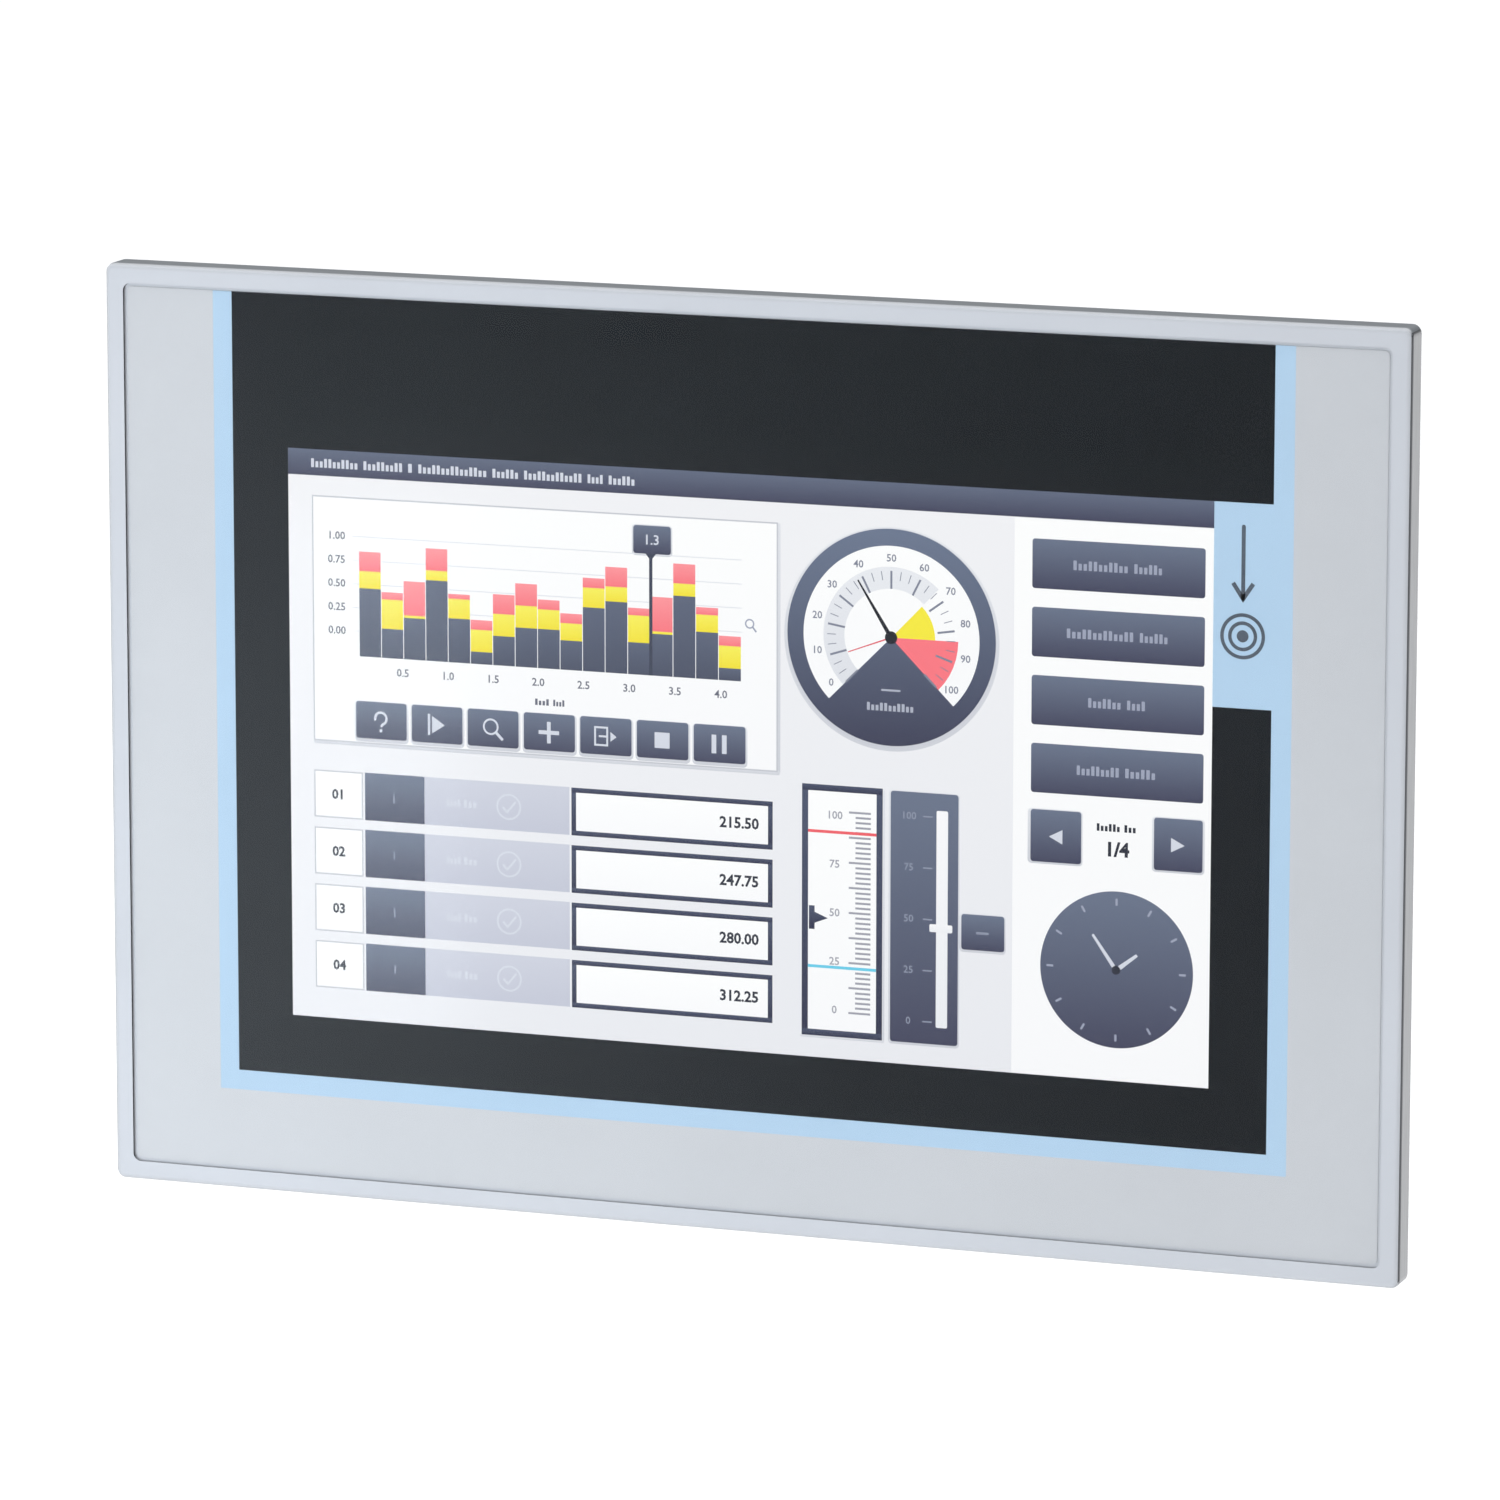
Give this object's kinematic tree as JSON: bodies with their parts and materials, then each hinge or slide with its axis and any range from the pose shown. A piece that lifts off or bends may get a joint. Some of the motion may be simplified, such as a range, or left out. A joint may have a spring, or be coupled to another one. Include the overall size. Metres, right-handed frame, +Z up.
{
  "type": "operator touch panel",
  "caption": "Built-in widescreen touch panel: metal rim, printed front film, lit display, sealed neck for a cut-out, rear box with sockets, memory cards and clamp clips.",
  "frame": {"origin": "centre of the cabinet cut-out, on the front surface of the cabinet sheet, where the seal's rear face rests", "axes": "+X to the right as the operator sees it, along the long side; +Y into the cabinet; +Z up"},
  "size_m": [0.274, 0.063, 0.19],
  "materials": {
    "bezel_aluminium": "satin silver coating",
    "seal_rubber": "matt",
    "film_clear": "clear polyester film, fine matt",
    "ink_silver": "silver grey ink under film",
    "ink_blue": "pale blue ink under film",
    "ink_black": "black ink under film",
    "touch_glass": "clear",
    "black_tape": "adhesive tape",
    "flex_film": "amber flexible film",
    "foam": "closed-cell foam",
    "display_steel": "bare stamped steel",
    "screen": "lit display",
    "white_plastic": "white",
    "clear_acrylic": "clear acrylic",
    "led_board": "diodes on a strip",
    "carrier_steel": "zinc-plated sheet",
    "plate_steel": "stamped stainless sheet",
    "zinc_steel": "zinc-plated",
    "standoff_brass": "turned",
    "board_laminate": "solder mask",
    "chip_plastic": "moulded",
    "thermal_rubber": "soft pad",
    "sink_aluminium": "extruded",
    "capacitor_sleeve": "sleeve",
    "socket_steel": "tin-plated shell",
    "black_plastic": "moulded",
    "green_plastic": "moulded",
    "cage_brass": "plated",
    "card_plastic": "moulded",
    "housing_paint": "powder-coated sheet, fine texture",
    "label_film": "blank label with no lettering",
    "clip_aluminium": "extruded, sawn ends"
  },
  "bodies": {
    "panel": {"front_bezel": "bezel_aluminium", "mounting_seal": "seal_rubber", "front_film": "film_clear", "film_print_silver": "ink_silver", "film_print_blue": "ink_blue", "film_print_black": "ink_black", "touch_sensor": "touch_glass", "touch_tape": "black_tape", "touch_tail": "flex_film", "lcd_gasket": "foam", "lcd_frame": "display_steel", "lcd_panel": "screen", "diffuser_sheets": "white_plastic", "light_guide": "clear_acrylic", "led_strip": "led_board", "lcd_back_plate": "display_steel", "lcd_cable": "flex_film", "display_carrier": "carrier_steel", "carrier_screws": "zinc_steel", "board_standoffs": "standoff_brass", "main_board": "board_laminate", "board_screws": "zinc_steel", "board_chips": "chip_plastic", "thermal_pad": "thermal_rubber", "heat_sink": "sink_aluminium", "power_capacitors": "capacitor_sleeve", "cable_sockets": "white_plastic", "ethernet_jacks": "socket_steel", "usb_sockets": "socket_steel", "service_socket": "socket_steel", "audio_socket": "black_plastic", "serial_connector": "socket_steel", "serial_jackscrews": "zinc_steel", "power_header": "green_plastic", "card_socket": "socket_steel", "rear_housing": "housing_paint", "socket_plate": "plate_steel", "housing_screws": "zinc_steel", "earth_screw": "cage_brass", "rating_label": "label_film", "mounting_clips": "clip_aluminium"},
    "power_plug": {"power_plug": "green_plastic"},
    "wire_cage_1": {"wire_cage_1": "cage_brass"},
    "wire_cage_2": {"wire_cage_2": "cage_brass"},
    "terminal_screw_1": {"terminal_screw_1": "zinc_steel"},
    "terminal_screw_2": {"terminal_screw_2": "zinc_steel"},
    "memory_card_1": {"memory_card_1": "card_plastic"},
    "memory_card_2": {"memory_card_2": "card_plastic"},
    "clamp_pad_1": {"clamp_pad_1": "black_plastic"},
    "clamp_pad_2": {"clamp_pad_2": "black_plastic"},
    "clamp_pad_3": {"clamp_pad_3": "black_plastic"},
    "clamp_pad_4": {"clamp_pad_4": "black_plastic"},
    "clamp_pad_5": {"clamp_pad_5": "black_plastic"},
    "clamp_pad_6": {"clamp_pad_6": "black_plastic"},
    "clamp_screw_1": {"clamp_screw_1": "zinc_steel"},
    "clamp_screw_2": {"clamp_screw_2": "zinc_steel"},
    "clamp_screw_3": {"clamp_screw_3": "zinc_steel"},
    "clamp_screw_4": {"clamp_screw_4": "zinc_steel"},
    "clamp_screw_5": {"clamp_screw_5": "zinc_steel"},
    "clamp_screw_6": {"clamp_screw_6": "zinc_steel"}
  },
  "joints": [
    {"name": "power_plug_pull", "type": "slide", "parent": "panel", "child": "power_plug", "axis": [0, 0, -1], "range_m": [0, 0.012]},
    {"name": "wire_cage_1_rise", "type": "slide", "parent": "power_plug", "child": "wire_cage_1", "axis": [0, 1, 0], "range_m": [0, 0.0015]},
    {"name": "terminal_screw_1_turn", "type": "hinge", "parent": "power_plug", "child": "terminal_screw_1", "pos_m": [0.05946, 0.03, -0.082], "axis": [0, -1, 0], "range_deg": [0, 1080.1]},
    {"name": "memory_card_1_slide", "type": "slide", "parent": "panel", "child": "memory_card_1", "axis": [-1, 0, 0], "range_m": [0, 0.028]},
    {"name": "wire_cage_2_rise", "type": "slide", "parent": "power_plug", "child": "wire_cage_2", "axis": [0, 1, 0], "range_m": [0, 0.0015]},
    {"name": "terminal_screw_2_turn", "type": "hinge", "parent": "power_plug", "child": "terminal_screw_2", "pos_m": [0.06454, 0.03, -0.082], "axis": [0, -1, 0], "range_deg": [0, 1080.1]},
    {"name": "memory_card_2_slide", "type": "slide", "parent": "panel", "child": "memory_card_2", "axis": [-1, 0, 0], "range_m": [0, 0.028]},
    {"name": "clamp_1_advance", "type": "slide", "parent": "panel", "child": "clamp_pad_1", "axis": [0, -1, 0], "range_m": [0, 0.0035]},
    {"name": "clamp_1_turn", "type": "hinge", "parent": "clamp_pad_1", "child": "clamp_screw_1", "pos_m": [-0.1, 0.02, 0.087], "axis": [0, -1, 0], "range_deg": [0, 1800.1]},
    {"name": "clamp_2_advance", "type": "slide", "parent": "panel", "child": "clamp_pad_2", "axis": [0, -1, 0], "range_m": [0, 0.0035]},
    {"name": "clamp_2_turn", "type": "hinge", "parent": "clamp_pad_2", "child": "clamp_screw_2", "pos_m": [0, 0.02, 0.087], "axis": [0, -1, 0], "range_deg": [0, 1800.1]},
    {"name": "clamp_3_advance", "type": "slide", "parent": "panel", "child": "clamp_pad_3", "axis": [0, -1, 0], "range_m": [0, 0.0035]},
    {"name": "clamp_3_turn", "type": "hinge", "parent": "clamp_pad_3", "child": "clamp_screw_3", "pos_m": [0.1, 0.02, 0.087], "axis": [0, -1, 0], "range_deg": [0, 1800.1]},
    {"name": "clamp_4_advance", "type": "slide", "parent": "panel", "child": "clamp_pad_4", "axis": [0, -1, 0], "range_m": [0, 0.0035]},
    {"name": "clamp_4_turn", "type": "hinge", "parent": "clamp_pad_4", "child": "clamp_screw_4", "pos_m": [-0.1, 0.02, -0.087], "axis": [0, -1, 0], "range_deg": [0, 1800.1]},
    {"name": "clamp_5_advance", "type": "slide", "parent": "panel", "child": "clamp_pad_5", "axis": [0, -1, 0], "range_m": [0, 0.0035]},
    {"name": "clamp_5_turn", "type": "hinge", "parent": "clamp_pad_5", "child": "clamp_screw_5", "pos_m": [0, 0.02, -0.087], "axis": [0, -1, 0], "range_deg": [0, 1800.1]},
    {"name": "clamp_6_advance", "type": "slide", "parent": "panel", "child": "clamp_pad_6", "axis": [0, -1, 0], "range_m": [0, 0.0035]},
    {"name": "clamp_6_turn", "type": "hinge", "parent": "clamp_pad_6", "child": "clamp_screw_6", "pos_m": [0.1, 0.02, -0.087], "axis": [0, -1, 0], "range_deg": [0, 1800.1]}
  ],
  "couplings": [
    {"joint": "terminal_screw_1_turn", "follows": "wire_cage_1_rise", "rad_per_m": 12566},
    {"joint": "terminal_screw_2_turn", "follows": "wire_cage_2_rise", "rad_per_m": 12566},
    {"joint": "clamp_1_turn", "follows": "clamp_1_advance", "rad_per_m": 8976},
    {"joint": "clamp_2_turn", "follows": "clamp_2_advance", "rad_per_m": 8976},
    {"joint": "clamp_3_turn", "follows": "clamp_3_advance", "rad_per_m": 8976},
    {"joint": "clamp_4_turn", "follows": "clamp_4_advance", "rad_per_m": 8976},
    {"joint": "clamp_5_turn", "follows": "clamp_5_advance", "rad_per_m": 8976},
    {"joint": "clamp_6_turn", "follows": "clamp_6_advance", "rad_per_m": 8976}
  ]
}
